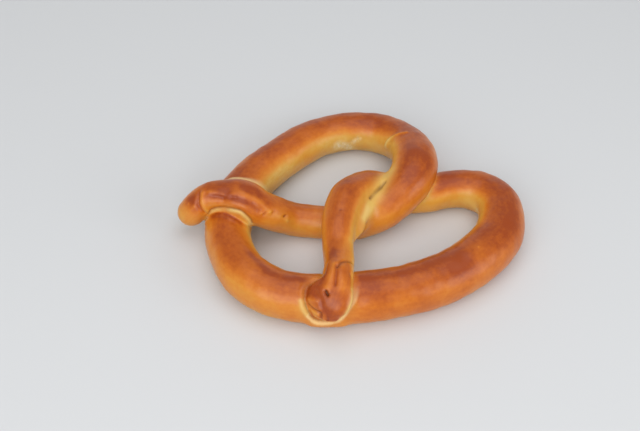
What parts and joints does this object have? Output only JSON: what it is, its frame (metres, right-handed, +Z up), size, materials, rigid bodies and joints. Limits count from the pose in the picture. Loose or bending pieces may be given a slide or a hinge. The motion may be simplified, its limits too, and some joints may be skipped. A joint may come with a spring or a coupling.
{
  "type": "soft pretzel",
  "caption": "Soft pretzel: a tapered rope of bread dough in a looped knot, its twisted arms pressed over the rim, flat underneath, to be picked up and eaten.",
  "frame": {"origin": "middle of the pretzel's outline, at the flat base that lay on the baking tray", "axes": "+Z up from the tray, +Y from the middle of the rim towards the notch between the lobes, +X towards the lobe whose arm lies lower at the notch"},
  "size_m": [0.1584, 0.1742, 0.0354],
  "materials": {
    "crust": "baked golden brown crust, satin, paler at the seams and low on the sides"
  },
  "bodies": {
    "root": {"pretzel": "crust"}
  },
  "joints": []
}
